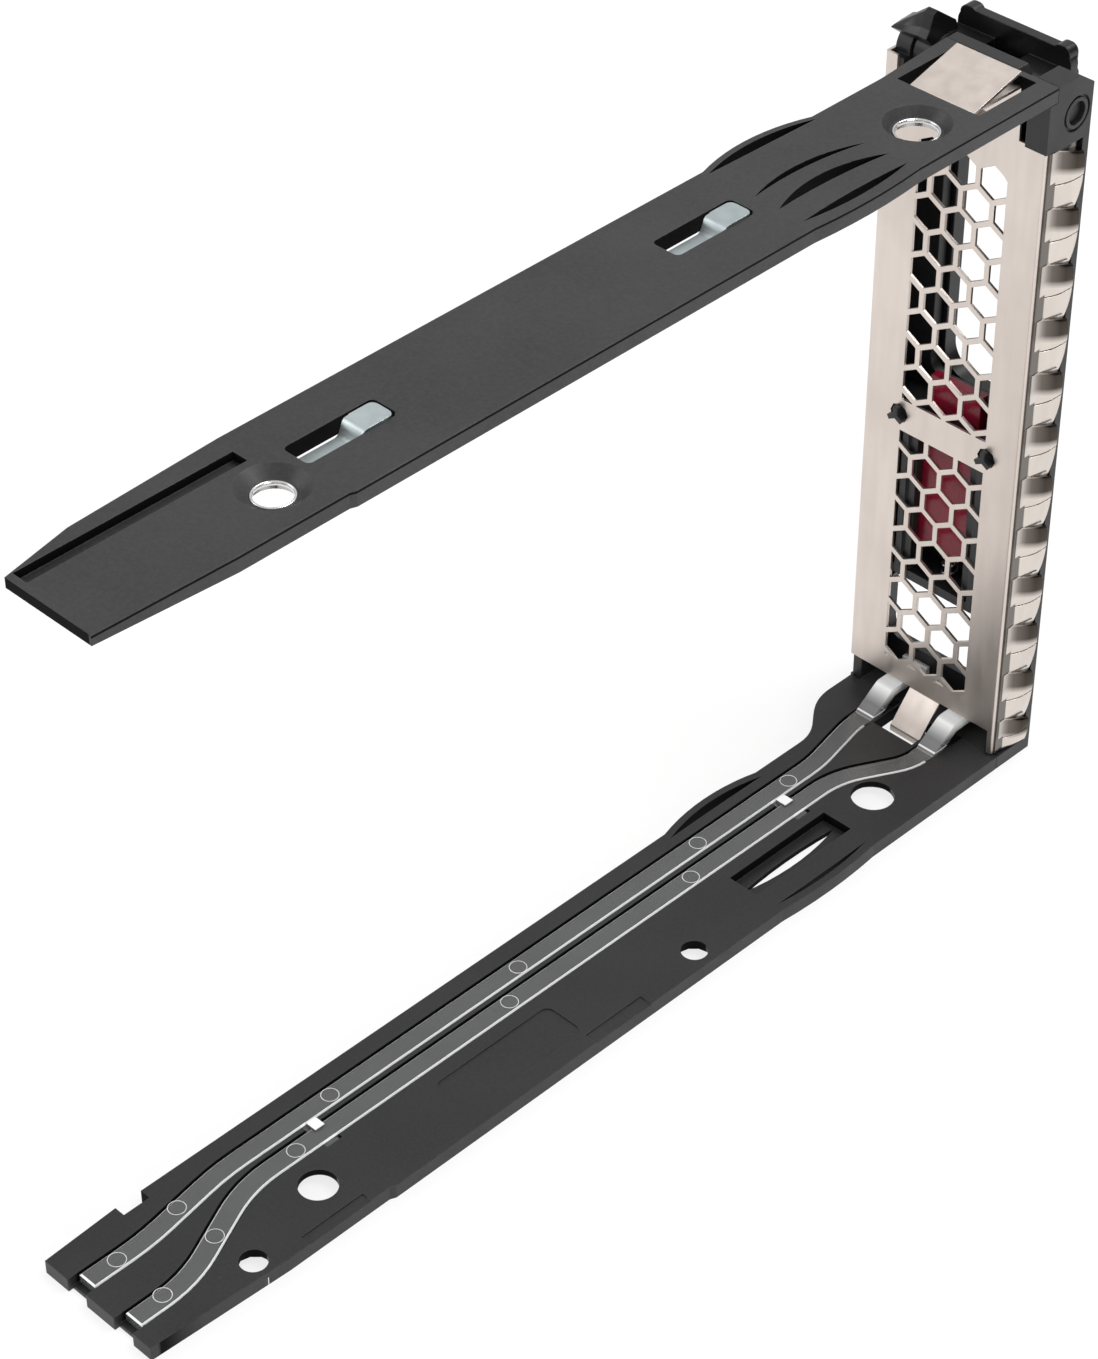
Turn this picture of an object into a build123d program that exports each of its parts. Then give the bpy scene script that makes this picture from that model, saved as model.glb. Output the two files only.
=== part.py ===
"""Hot swap drive caddy for a 3.5 inch disk drive, standing on its lower rail.

X is the width of the tray, Y its depth with the bezel in front at -Y and the
rails running back to +Y, and Z is up. The origin is at the bottom centre.
All sizes are in millimetres.
"""
from build123d import *
import math
import os

# Driving dimensions of the drive that the tray holds
hole_pitch = 101.6
bay_height = 101.9
hole_inset = 6.75

# Driving dimensions of the tray
tray_width = 26.5
finger_proud = 0.9
rail_thick = 2.1
rail_clear = 0.1
rear_hole_to_tail = 31.2
front_hole_to_shield = 17.6
sheet = 0.4
bezel_depth = 6.9
lever_gap = 0.3
lever_thick = 2.2

height = bay_height + 2 * rail_thick
length = (rear_hole_to_tail + hole_pitch + front_hole_to_shield + sheet
          + bezel_depth + lever_gap + lever_thick)

# Places along the depth, from the tail to the lever
tail_y = length / 2
rear_hole_y = tail_y - rear_hole_to_tail
front_hole_y = rear_hole_y - hole_pitch
shield_back_y = front_hole_y - front_hole_to_shield
bezel_back_y = shield_back_y - sheet
bezel_front_y = bezel_back_y - bezel_depth
lever_back_y = bezel_front_y - lever_gap
lever_front_y = lever_back_y - lever_thick

# The web between the two panels of the vent
mid_z = height * 0.4647

# Places across the width: the side with the spring fingers is near_x
near_x = -(tray_width + finger_proud) / 2 + finger_proud
far_x = near_x + tray_width
mid_inset = tray_width / 2
upper_z = height - rail_thick


def across(inset):
    """X of a place this far in from the near side of the tray."""
    return near_x + inset


def along(back):
    """Y of a place this far behind the front drive holes."""
    return front_hole_y + back


def behind(back):
    """Y of a place this far behind the rear drive holes."""
    return rear_hole_y + back


hole_x = across(hole_inset)
mid_x = across(mid_inset)

# Rails
upper_rail_width = 17.3
upper_front_width = 16.6
lower_rail_width = 21.3
lower_flare_width = tray_width - 0.3
rail_front_y = bezel_back_y + rail_clear
upper_tail_y = tail_y - 2.0
tenon_length = 1.5
tenon_thick = 1.0
tenon_play = 0.1

# Bow springs cut into the rails just behind the front drive holes
bow_start = 7.5
bow_end = 25.5
bow_rise = 1.25
near_bow_rise = 0.45

# Drive screw holes and the steel eyelets in the upper dishes
front_bore = 5.2
rear_bore = 4.4
eyelet_wall = 0.35
eyelet_flange = 0.6
eyelet_plate = 0.35
dish_radius = 4.25
dish_depth = 1.2
peg_hole = 3.6

# Spring clips in the two windows of the upper rail
clip_window_length = 12.9
clip_window_width = 4.1
clip_window_inset = 9.0
clip_stations = {"front": 34.2, "rear": hole_pitch - 11.6}
clip_thick = 0.35
clip_leaf_width = 3.6
clip_head_width = 3.9
clip_anchor = 1.55

# Window near the bezel through which the shield's top tongue springs out
top_window_near = 2.6
top_window_far = 15.2
top_window_back = -6.2
top_window_front = -16.9
tongue_near = 4.0
tongue_far = 13.9
tongue_neck = 5.0

# Window in the lower rail for the shield's bottom tongue
low_window_near = 10.0
low_window_far = 16.9
low_window_back = -11.9
low_window_front = -17.2
low_tongue_width = 5.2
low_tongue_gap = 0.3

# Honeycomb vent
hex_pitch = 5.0
hex_web = 0.75
panel_half_width = 7.1
gap_low_z = mid_z - 2.4
gap_high_z = mid_z + 2.4
shield_low_z = 6.0
shield_top_z = height - 9.2
ear_top_z = height - 5.1
ear_inset = tray_width - 1.9
vent_low_z = shield_low_z + 3.2
vent_high_z = shield_top_z - 4.5
top_row_z = vent_high_z - 2.8
corner_cut = 2.6
leg_far = 1.7

# Spring finger strip on the near side
finger_count = 12
last_finger_share = 0.67
finger_share = 0.55
strip_thick = 0.22
strip_low_z = rail_thick + 0.2
finger_top_z = shield_top_z - 0.3
finger_pitch = (finger_top_z - strip_low_z) / (finger_count - 1 + last_finger_share)
flange_recess = 1.15
flange_length = 5.7
strip_outer_inset = flange_recess - sheet - strip_thick - 0.03

# Bezel walls
near_wall = 2.2
far_wall = 1.9
front_wall = 1.6
floor_thick = rail_thick
shelf_z = 24.8
shelf_thick = 1.4
divider_low_z = mid_z - 1.7
divider_high_z = mid_z + 1.9
frame_top_z = height - 10.5
window_near = 4.75
window_far = tray_width - 6.0
low_vent_near = 3.4
low_vent_low_z = 7.4
low_vent_high_z = 19.0
stake_half_pitch = 7.4
stake_z = mid_z + 0.1

# Bar across the top of the bezel
bar_far = 17.4
bar_web_near = 14.2
bar_depth = 1.9

# Lever and its pivot
pivot_y = along(-22.0)
pivot_z = height - 5.2
pin_radius = 1.5
pin_play = 0.06
near_block = 3.3
far_block = 2.2
block_radius = 3.0
block_shoulder_z = pivot_z - 0.3
hub_radius = 2.8
lever_near = 3.9
lever_far = tray_width - 4.9
lever_top_z = height + 0.15
wing_height = 3.2
wing_thick = 1.4
claw_near = tray_width - 5.9
claw_peak_far = tray_width - 4.5
claw_far = tray_width - 0.3
lever_side_gap = 0.4
hub_gap_near = mid_inset - 2.95
hub_gap_far = mid_inset + 2.45
tooth_width = 5.0
tooth_reach = 3.5
nose_width = 6.0
nose_gap = 0.15
pin_near = 0.7
pin_far = tray_width - 1.1
torsion_radius = 2.1
torsion_wire = 0.5
torsion_turns = 4.5
wire_sides = 6
runs_per_turn = 8

# Release latch
latch_width = 11.0
latch_low_z = shelf_z + 4.4
latch_arm_width = 8.4
latch_arm_thick = 1.4
latch_arm_top_z = divider_high_z + 4.8
latch_top_z = divider_low_z - 4.0
tooth_low_z = latch_top_z + 0.7
lever_low_z = latch_top_z + 0.3
latch_travel = 2.0
latch_play = 0.3
latch_depth = 3.3
latch_stop_gap = 0.1
paddle_width = 8.4
paddle_low_z = latch_low_z + 1.3
paddle_reach = 2.2
spring_radius = 1.05
spring_wire = 0.35
spring_length = 8.0
spring_turns = 6

# Light pipe
pipe_width = 2.9
pipe_height = 1.4
pipe_lift = 0.03
pipe_chamfer = 0.22
channel_play = 0.25
channel_floor = 0.6
far_radii = (40.0, 40.0, 20.0, 14.0)
near_radii = (20.0, 20.0, 14.0, 9.0)
bridge_stations = (9.5, hole_pitch - 6.3)
bridge_mid_inset = 14.0
bridge_width = 6.2
bridge_length = 2.0
far_exit = 18.9
near_exit = 7.8
pipe_exit_z = 3.7
lens_margin = 0.35
lens_play = 0.05
lens_flange = 0.8

os.makedirs("parts", exist_ok=True)


def finish(piece, name):
    """Label a finished piece and write it."""
    piece.part.label = name
    export_step(piece.part, f"parts/{name}.step")


def side_arc(y_from, y_to, x_from, x_to, bulge):
    """Three points of an arc along Y that bulges sideways in the middle."""
    return [
        (x_from, y_from),
        ((x_from + x_to) / 2 + bulge, (y_from + y_to) / 2),
        (x_to, y_to),
    ]


def crescent(inset_from, inset_to, first_bulge, second_bulge):
    """Face between two arcs with shared ends, as long as the bow springs."""
    ends = (along(bow_start), along(bow_end), across(inset_from), across(inset_to))
    back = (ends[1], ends[0], ends[3], ends[2])
    with BuildSketch() as shape:
        with BuildLine():
            ThreePointArc(*side_arc(*ends, first_bulge))
            ThreePointArc(*side_arc(*back, second_bulge))
        make_face()
    return shape.sketch


def route_band(points, radii, width):
    """Band of even width along a route whose corners are rounded."""
    with BuildSketch() as band:
        with BuildLine():
            route = FilletPolyline(*points, radius=radii)
        trace(route, line_width=width)
    return band.sketch


def sheet_profile(points, radius, thickness):
    """Bent sheet seen from the side, as (y, z) points rounded at the bends."""
    with BuildSketch(Plane.YZ) as profile:
        with BuildLine():
            route = FilletPolyline(*points, radius=radius)
        trace(route, line_width=thickness)
    return profile.sketch


# Routes of the two arms of the light pipe, from the tail to where they climb
pipe_tail_y = tail_y - 1.6
climb_y = along(-11.6)
far_route = [
    (across(14.8), pipe_tail_y),
    (across(14.8), behind(20.4)),
    (across(17.0), behind(6.9)),
    (across(17.0), along(0.0)),
    (across(far_exit), along(-9.5)),
    (across(far_exit), climb_y),
]
near_route = [
    (across(6.3), pipe_tail_y),
    (across(6.3), behind(20.9)),
    (across(13.0), behind(6.4)),
    (across(13.0), along(0.5)),
    (across(near_exit), along(-9.0)),
    (across(near_exit), climb_y),
]

# Places inside the bezel
front_wall_y = bezel_front_y + front_wall
latch_front_y = front_wall_y + 0.2
latch_back_y = latch_front_y + latch_depth
spring_y = (latch_front_y + latch_back_y) / 2
lens_width = pipe_width + 2 * lens_margin
lens_height = pipe_height + 2 * lens_margin

# Lower rail, with the channels that hold the light pipe
lower_far = across(lower_rail_width)
channel_end = tail_y - 0.7
channel_width = pipe_width + 2 * channel_play
bow_front_y = along(bow_start)
bow_back_y = along(bow_end)
with BuildPart() as lower_rail:
    with BuildSketch():
        with BuildLine():
            Line((near_x, rail_front_y), (near_x, bow_front_y))
            ThreePointArc(*side_arc(bow_front_y, bow_back_y, near_x, near_x, -near_bow_rise))
            Polyline(
                (near_x, bow_back_y),
                (near_x, behind(-6.6)),
                (across(0.35), behind(-5.8)),
                (across(0.35), behind(10.4)),
                (across(1.4), tail_y),
                (across(lower_rail_width - 0.6), tail_y),
                (lower_far, behind(19.8)),
                (lower_far, bow_back_y),
            )
            ThreePointArc(*side_arc(bow_back_y, bow_front_y, lower_far, lower_far, bow_rise))
            Line((lower_far, bow_front_y), (lower_far, along(-1.5)))
            Spline(
                (lower_far, along(-1.5)),
                (across((lower_rail_width + lower_flare_width) / 2), along(-7.0)),
                (across(lower_flare_width), along(-13.2)),
                tangents=((0, -1), (0, -1)),
            )
            Polyline(
                (across(lower_flare_width), along(-13.2)),
                (across(lower_flare_width), rail_front_y),
                (near_x, rail_front_y),
            )
        make_face()
    extrude(amount=rail_thick)
    # Tenons that enter the floor of the bezel
    with BuildSketch(Plane.XY.offset((rail_thick - tenon_thick) / 2)):
        with Locations((across(4.0), rail_front_y), (across(tray_width - 4.0), rail_front_y)):
            Rectangle(4.0, 2 * tenon_length)
    extrude(amount=tenon_thick)
    # Channels for the light pipe, and the gaps between the three prongs of the tail
    with BuildSketch(Plane.XY.offset(channel_floor)):
        add(route_band(far_route, far_radii, channel_width))
        add(route_band(near_route, near_radii, channel_width))
        for start in (far_route[0], near_route[0]):
            with Locations((start[0], pipe_tail_y)):
                Rectangle(channel_width, 2 * (tail_y - pipe_tail_y))
        for end_x in (across(far_exit), across(near_exit)):
            with Locations((end_x, (climb_y + rail_front_y) / 2)):
                Rectangle(channel_width, climb_y - rail_front_y + 0.2)
    extrude(amount=rail_thick, mode=Mode.SUBTRACT)
    with BuildSketch():
        for start in (far_route[0], near_route[0]):
            with Locations((start[0], tail_y)):
                Rectangle(channel_width, 2 * (tail_y - channel_end))
    extrude(amount=rail_thick, mode=Mode.SUBTRACT)
    # Bow springs on both sides, the relief slot between them and the side notch
    with BuildSketch():
        add(crescent(20.2, 20.2, 0.05, bow_rise + 0.1))
        add(crescent(1.25, 1.25, -0.1, -0.75))
        add(crescent(7.0, 7.0, 0.5, -1.1))
        with Locations((lower_far, behind(17.8))):
            Rectangle(3.2, 4.0)
        with Locations((across((low_window_near + low_window_far) / 2),
                        along((low_window_back + low_window_front) / 2))):
            Rectangle(low_window_far - low_window_near, low_window_back - low_window_front)
    extrude(amount=rail_thick, mode=Mode.SUBTRACT)
    # Notches for the bridges and ears of the light pipe
    with BuildSketch(Plane.XY.offset(channel_floor)):
        for station in bridge_stations:
            with Locations((across(bridge_mid_inset), along(station))):
                Rectangle(bridge_width + 2 * channel_play, bridge_length + 2 * channel_play)
    extrude(amount=rail_thick, mode=Mode.SUBTRACT)
    # Relief under the window of the tongue
    with BuildSketch():
        with Locations((across((low_window_near + low_window_far) / 2),
                        along((low_window_back + low_window_front) / 2 + 0.4))):
            Rectangle(low_window_far - low_window_near + 0.2,
                      low_window_back - low_window_front + 0.8)
    extrude(amount=1.1, mode=Mode.SUBTRACT)
    # Shallow pocket round the relief slot, and the bare label field
    with BuildSketch(Plane.XY.offset(rail_thick)):
        with Locations((across(6.75), (bow_front_y + bow_back_y) / 2)):
            Rectangle(4.8, bow_back_y - bow_front_y + 0.6)
    extrude(amount=-1.4, mode=Mode.SUBTRACT)
    with BuildSketch(Plane.XY.offset(rail_thick)):
        with Locations((across(5.9), along(70.0))):
            RectangleRounded(6.4, 20.0, 1.2)
        with Locations((near_x, along(55.4)), (near_x, behind(2.2))):
            Rectangle(3.8, 10.0)
    extrude(amount=-0.15, mode=Mode.SUBTRACT)
    # Drive screw holes, dished from below, and peg holes
    with Locations((hole_x, front_hole_y, 0)):
        Cylinder(front_bore / 2 + eyelet_wall, rail_thick,
                 align=(Align.CENTER, Align.CENTER, Align.MIN), mode=Mode.SUBTRACT)
        Cone(dish_radius, front_bore / 2 + eyelet_wall, dish_depth,
             align=(Align.CENTER, Align.CENTER, Align.MIN), mode=Mode.SUBTRACT)
    with Locations((hole_x, rear_hole_y, 0)):
        Cylinder(rear_bore / 2 + eyelet_wall, rail_thick,
                 align=(Align.CENTER, Align.CENTER, Align.MIN), mode=Mode.SUBTRACT)
        Cone(dish_radius, rear_bore / 2 + eyelet_wall, dish_depth,
             align=(Align.CENTER, Align.CENTER, Align.MIN), mode=Mode.SUBTRACT)
    with Locations((across(2.9), along(39.3), 0), (across(3.1), behind(13.7), 0)):
        Cylinder(peg_hole / 2, rail_thick,
                 align=(Align.CENTER, Align.CENTER, Align.MIN), mode=Mode.SUBTRACT)
    # Wider relief below each peg hole
    with BuildSketch():
        with Locations((across(2.9), along(39.3)), (across(3.1), behind(13.7))):
            RegularPolygon(peg_hole / 2 + 0.8, 12)
    extrude(amount=dish_depth, mode=Mode.SUBTRACT)
finish(lower_rail, "lower_rail")

# Upper rail
with BuildPart() as upper_rail:
    with BuildSketch(Plane.XY.offset(upper_z)):
        with BuildLine():
            Line((near_x, rail_front_y), (near_x, bow_front_y))
            ThreePointArc(*side_arc(bow_front_y, bow_back_y, near_x, near_x, -near_bow_rise))
            Polyline(
                (near_x, bow_back_y),
                (near_x, behind(-5.6)),
                (across(0.3), behind(-4.8)),
                (across(0.3), behind(10.4)),
                (across(0.9), upper_tail_y),
                (across(14.4), upper_tail_y),
                (across(16.4), behind(19.4)),
                (across(upper_rail_width), behind(-1.6)),
                (across(upper_rail_width), bow_back_y),
            )
            ThreePointArc(*side_arc(bow_back_y, bow_front_y, across(upper_rail_width),
                                    across(upper_front_width), bow_rise + 0.3))
            Polyline(
                (across(upper_front_width), bow_front_y),
                (across(upper_front_width), along(-5.0)),
                (across(17.5), rail_front_y),
                (near_x, rail_front_y),
            )
        make_face()
    extrude(amount=rail_thick)
    # Tenons that enter the corner block and the top bar of the bezel
    with BuildSketch(Plane.XY.offset(upper_z + (rail_thick - tenon_thick) / 2)):
        with Locations((across(1.8), rail_front_y), (across(15.8), rail_front_y)):
            Rectangle(1.8, 2 * tenon_length)
    extrude(amount=tenon_thick)
    # Trench along the far side of the tail
    with BuildSketch(Plane.XY.offset(height)):
        with Locations((across(13.2), (behind(-1.2) + upper_tail_y - 1.0) / 2)):
            Rectangle(2.3, upper_tail_y - 1.0 - behind(-1.2))
    extrude(amount=-1.1, mode=Mode.SUBTRACT)
    # Lead-in for the drive: the underside of the tail slopes up
    with BuildSketch(Plane.YZ.offset(near_x)):
        with BuildLine():
            Polyline(
                (behind(10.4), upper_z),
                (upper_tail_y + 1.0, upper_z),
                (upper_tail_y + 1.0, upper_z + 0.8),
                (behind(10.4), upper_z),
            )
        make_face()
    extrude(amount=tray_width, mode=Mode.SUBTRACT)
    # Windows for the spring clips, bow spring slots, and the tongue window
    with BuildSketch(Plane.XY.offset(upper_z)):
        for station in clip_stations.values():
            with Locations((across(clip_window_inset), along(station))):
                RectangleRounded(clip_window_width, clip_window_length, 0.7)
        add(crescent(15.9, 16.5, 0.0001, bow_rise + 0.25))
        add(crescent(8.1, 9.3, 0.9, 1.8))
        add(crescent(4.6, 5.5, 0.5, 2.2))
        add(crescent(1.7, 1.8, 0.4, -0.85))
        with Locations((across((top_window_near + top_window_far) / 2),
                        along((top_window_back + top_window_front) / 2))):
            Rectangle(top_window_far - top_window_near, top_window_back - top_window_front)
    extrude(amount=rail_thick, mode=Mode.SUBTRACT)
    # Pocket under the front end for the neck of the tongue
    with BuildSketch(Plane.XY.offset(upper_z)):
        with Locations((across((tongue_neck + tongue_far) / 2), rail_front_y)):
            Rectangle(tongue_far - tongue_neck + 0.4, 2.6)
    extrude(amount=1.0, mode=Mode.SUBTRACT)
    # Pockets under the rail for the anchors of the spring clips
    with BuildSketch(Plane.XY.offset(upper_z)):
        for station in clip_stations.values():
            with Locations((across(clip_window_inset),
                            along(station + clip_window_length / 2 + clip_anchor / 2 - 0.4))):
                Rectangle(clip_leaf_width + 0.3, clip_anchor + 0.9)
    extrude(amount=clip_thick, mode=Mode.SUBTRACT)
    # Dished drive screw holes with seats for the eyelets
    for hole_y, bore in ((front_hole_y, front_bore), (rear_hole_y, rear_bore)):
        with Locations((hole_x, hole_y, height)):
            Cone(bore / 2 + eyelet_wall + 0.25, dish_radius, dish_depth,
                 align=(Align.CENTER, Align.CENTER, Align.MAX), mode=Mode.SUBTRACT)
        with Locations((hole_x, hole_y, upper_z)):
            Cylinder(bore / 2 + eyelet_wall, rail_thick,
                     align=(Align.CENTER, Align.CENTER, Align.MIN), mode=Mode.SUBTRACT)
            Cylinder(bore / 2 + eyelet_wall + eyelet_flange, eyelet_plate,
                     align=(Align.CENTER, Align.CENTER, Align.MIN), mode=Mode.SUBTRACT)
finish(upper_rail, "upper_rail")

# Steel eyelets pressed into the upper rail from inside
for name, hole_y, bore in (("front", front_hole_y, front_bore), ("rear", rear_hole_y, rear_bore)):
    with BuildPart() as eyelet:
        with Locations((hole_x, hole_y, upper_z)):
            Cylinder(bore / 2 + eyelet_wall, rail_thick - dish_depth + 0.2,
                     align=(Align.CENTER, Align.CENTER, Align.MIN))
            Cylinder(bore / 2 + eyelet_wall + eyelet_flange, eyelet_plate,
                     align=(Align.CENTER, Align.CENTER, Align.MIN))
            Cylinder(bore / 2, rail_thick,
                     align=(Align.CENTER, Align.CENTER, Align.MIN), mode=Mode.SUBTRACT)
    finish(eyelet, f"eyelet_{name}")

# Spring clips: an anchored low leaf, an S bend and a wide contact head
clip_low_z = upper_z + clip_thick / 2
clip_high_z = height + 0.05
for name, station in clip_stations.items():
    anchor_y = along(station + clip_window_length / 2 + clip_anchor)
    leaf = sheet_profile(
        [(anchor_y, clip_low_z), (along(station + 0.8), clip_low_z),
         (along(station - 1.7), clip_high_z), (along(station - 3.2), clip_high_z)],
        0.9, clip_thick)
    head = sheet_profile(
        [(along(station - 2.2), clip_high_z), (along(station - 6.0), clip_high_z),
         (along(station - 6.0), clip_high_z - 1.1)],
        0.5, clip_thick)
    with BuildPart() as clip:
        extrude(leaf.moved(Location((across(clip_window_inset - clip_leaf_width / 2), 0, 0))),
                amount=clip_leaf_width, dir=(1, 0, 0))
        extrude(head.moved(Location((across(clip_window_inset - clip_head_width / 2), 0, 0))),
                amount=clip_head_width, dir=(1, 0, 0))
    finish(clip, f"spring_clip_{name}")

# Bezel frame: an open box behind the lever, with the two pivot blocks on top
depth_mid = (bezel_back_y + bezel_front_y) / 2
with BuildPart() as bezel_frame:
    with BuildSketch():
        with Locations((mid_x, depth_mid)):
            Rectangle(tray_width, bezel_depth)
    extrude(amount=frame_top_z)
    # Cells of the box, open to the back: lens room, latch room and lever room
    with BuildSketch(Plane.XZ.offset(-bezel_back_y)):
        with Locations((mid_x + (near_wall - far_wall) / 2, 0)):
            for low, high in ((floor_thick, shelf_z - shelf_thick), (shelf_z, divider_low_z),
                              (divider_high_z, frame_top_z - 2.0)):
                with Locations((0, (low + high) / 2)):
                    Rectangle(tray_width - near_wall - far_wall, high - low)
    extrude(amount=bezel_depth - front_wall, mode=Mode.SUBTRACT)
    # Openings of the front wall: air for the lever window, the latch and the low vent
    with BuildSketch(Plane.XZ.offset(-front_wall_y)):
        with Locations((across((window_near + window_far) / 2),
                        (divider_high_z + frame_top_z) / 2 - 0.5)):
            RectangleRounded(window_far - window_near, frame_top_z - divider_high_z - 5.0, 2.5)
        slot_low_z = paddle_low_z - latch_travel - 0.4
        with Locations((mid_x, (slot_low_z + divider_low_z - 0.7) / 2)):
            Rectangle(paddle_width + 1.6, divider_low_z - 0.7 - slot_low_z)
        with Locations((across((low_vent_near + tray_width - far_wall) / 2),
                        (low_vent_low_z + low_vent_high_z) / 2)):
            RectangleRounded(tray_width - far_wall - low_vent_near,
                             low_vent_high_z - low_vent_low_z, 2.5)
        with Locations((across(far_exit), pipe_exit_z + pipe_height / 2),
                       (across(near_exit), pipe_exit_z + pipe_height / 2)):
            Rectangle(lens_width + 2 * lens_play, lens_height + 2 * lens_play)
    extrude(amount=front_wall, mode=Mode.SUBTRACT)
    # Guides on both sides of the latch
    with BuildSketch(Plane.XY.offset(shelf_z)):
        guide_offset = latch_width / 2 + latch_play + 0.5
        with Locations((mid_x - guide_offset, (front_wall_y + bezel_back_y) / 2),
                       (mid_x + guide_offset, (front_wall_y + bezel_back_y) / 2)):
            Rectangle(1.0, bezel_back_y - front_wall_y)
    extrude(amount=divider_low_z - shelf_z)
    # Lips that keep the latch from leaving towards the drive
    with BuildSketch(Plane.XY.offset(shelf_z)):
        with Locations((mid_x - guide_offset + 1.1, latch_back_y + 0.75),
                       (mid_x + guide_offset - 1.1, latch_back_y + 0.75)):
            Rectangle(1.4, 1.3)
    extrude(amount=divider_low_z - shelf_z)
    # Stops above the shoulders of the latch
    with BuildSketch(Plane.XY.offset(latch_top_z + latch_stop_gap)):
        with Locations((mid_x - guide_offset + 1.1, (front_wall_y + latch_back_y) / 2 + 0.2),
                       (mid_x + guide_offset - 1.1, (front_wall_y + latch_back_y) / 2 + 0.2)):
            Rectangle(1.4, latch_back_y - front_wall_y + 0.8)
    extrude(amount=1.4)
    # Slot in the divider for the arm of the latch
    with BuildSketch(Plane.XY.offset(divider_low_z)):
        with Locations((mid_x, latch_back_y - latch_arm_thick / 2)):
            Rectangle(latch_arm_width + 2 * latch_play, latch_arm_thick + 2 * latch_play)
    extrude(amount=divider_high_z - divider_low_z, mode=Mode.SUBTRACT)
    # Boss that centres the latch spring
    with Locations((mid_x, spring_y, shelf_z)):
        Cylinder(spring_radius - spring_wire, 1.6, align=(Align.CENTER, Align.CENTER, Align.MIN))
    # Near pivot block, reaching back under the upper rail
    with BuildSketch(Plane.YZ.offset(near_x)):
        with BuildLine():
            Polyline(
                (along(-16.6), shield_top_z + 0.3),
                (along(-16.6), upper_z - 0.1),
                (rail_front_y - 0.1, upper_z - 0.1),
                (rail_front_y - 0.1, height),
                (pivot_y, height),
                (bezel_front_y, height - 2.0),
                (bezel_front_y, frame_top_z - 0.6),
                (along(-18.2), frame_top_z - 0.6),
                (along(-18.2), shield_top_z + 0.3),
                (along(-16.6), shield_top_z + 0.3),
            )
        make_face()
    extrude(amount=near_block)
    # Far pivot block, rounded so that the claw can pass over it
    with BuildSketch(Plane.YZ.offset(far_x - sheet)):
        with Locations((pivot_y, pivot_z)):
            Circle(block_radius)
        block_front_y = pivot_y - block_radius + 0.1
        with Locations(((block_front_y + bezel_back_y) / 2,
                        (block_shoulder_z + frame_top_z) / 2 - 0.5)):
            Rectangle(bezel_back_y - block_front_y, block_shoulder_z - frame_top_z + 1.0)
    extrude(amount=-far_block)
    # Top bar in front of the upper rail, lower at its near end, standing on a thin web
    with BuildSketch(Plane.XZ.offset(-bezel_back_y)):
        with BuildLine():
            Polyline(
                (across(near_block), height - 2.1),
                (across(near_block), height - 1.2),
                (across(5.4), height - 1.2),
                (across(6.3), height),
                (across(bar_far), height),
                (across(bar_far), height - 2.1),
                (across(near_block), height - 2.1),
            )
        make_face()
    extrude(amount=bar_depth)
    with BuildSketch(Plane.YZ.offset(across(bar_web_near))):
        with Locations((bezel_back_y - 0.5, (frame_top_z + height) / 2 - 1.0)):
            Rectangle(1.0, height - frame_top_z)
    extrude(amount=bar_far - bar_web_near)
    # Recesses in both sides for the flanges of the shield
    with BuildSketch(Plane.XY.offset(floor_thick)):
        with Locations((near_x, bezel_back_y - flange_length / 2)):
            Rectangle(2 * flange_recess, flange_length)
    extrude(amount=shield_top_z - floor_thick, mode=Mode.SUBTRACT)
    with BuildSketch(Plane.XY.offset(floor_thick)):
        with Locations((far_x, bezel_back_y - flange_length / 2)):
            Rectangle(2 * sheet, flange_length)
    extrude(amount=ear_top_z - floor_thick, mode=Mode.SUBTRACT)
    # Sockets for the tenons of both rails
    with BuildSketch(Plane.XY.offset((rail_thick - tenon_thick) / 2 - tenon_play)):
        with Locations((across(4.0), bezel_back_y), (across(tray_width - 4.0), bezel_back_y)):
            Rectangle(4.0 + 2 * tenon_play, 2 * tenon_length)
    extrude(amount=tenon_thick + 2 * tenon_play, mode=Mode.SUBTRACT)
    with BuildSketch(Plane.XY.offset(upper_z + (rail_thick - tenon_thick) / 2 - tenon_play)):
        with Locations((across(1.8), bezel_back_y), (across(15.8), bezel_back_y)):
            Rectangle(1.8 + 2 * tenon_play, 2 * tenon_length)
    extrude(amount=tenon_thick + 2 * tenon_play, mode=Mode.SUBTRACT)
    # Pivot bore through both blocks with a ring round its near end
    with BuildSketch(Plane.YZ.offset(near_x)):
        with Locations((pivot_y, pivot_z)):
            Circle(pin_radius + pin_play)
    extrude(amount=tray_width - 0.9, mode=Mode.SUBTRACT)
    with BuildSketch(Plane.YZ.offset(near_x)):
        with Locations((pivot_y, pivot_z)):
            Circle(2.45)
            Circle(2.05, mode=Mode.SUBTRACT)
    extrude(amount=0.35, mode=Mode.SUBTRACT)
    # Three-armed stakes that hold the shield
    for side in (-1, 1):
        with BuildSketch(Plane.XZ.offset(-bezel_back_y)):
            with Locations((mid_x + side * stake_half_pitch, stake_z)):
                with PolarLocations(0.65, 3, start_angle=90):
                    Rectangle(1.3, 0.7)
        extrude(amount=-(sheet + 0.9))
finish(bezel_frame, "bezel_frame")

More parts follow.
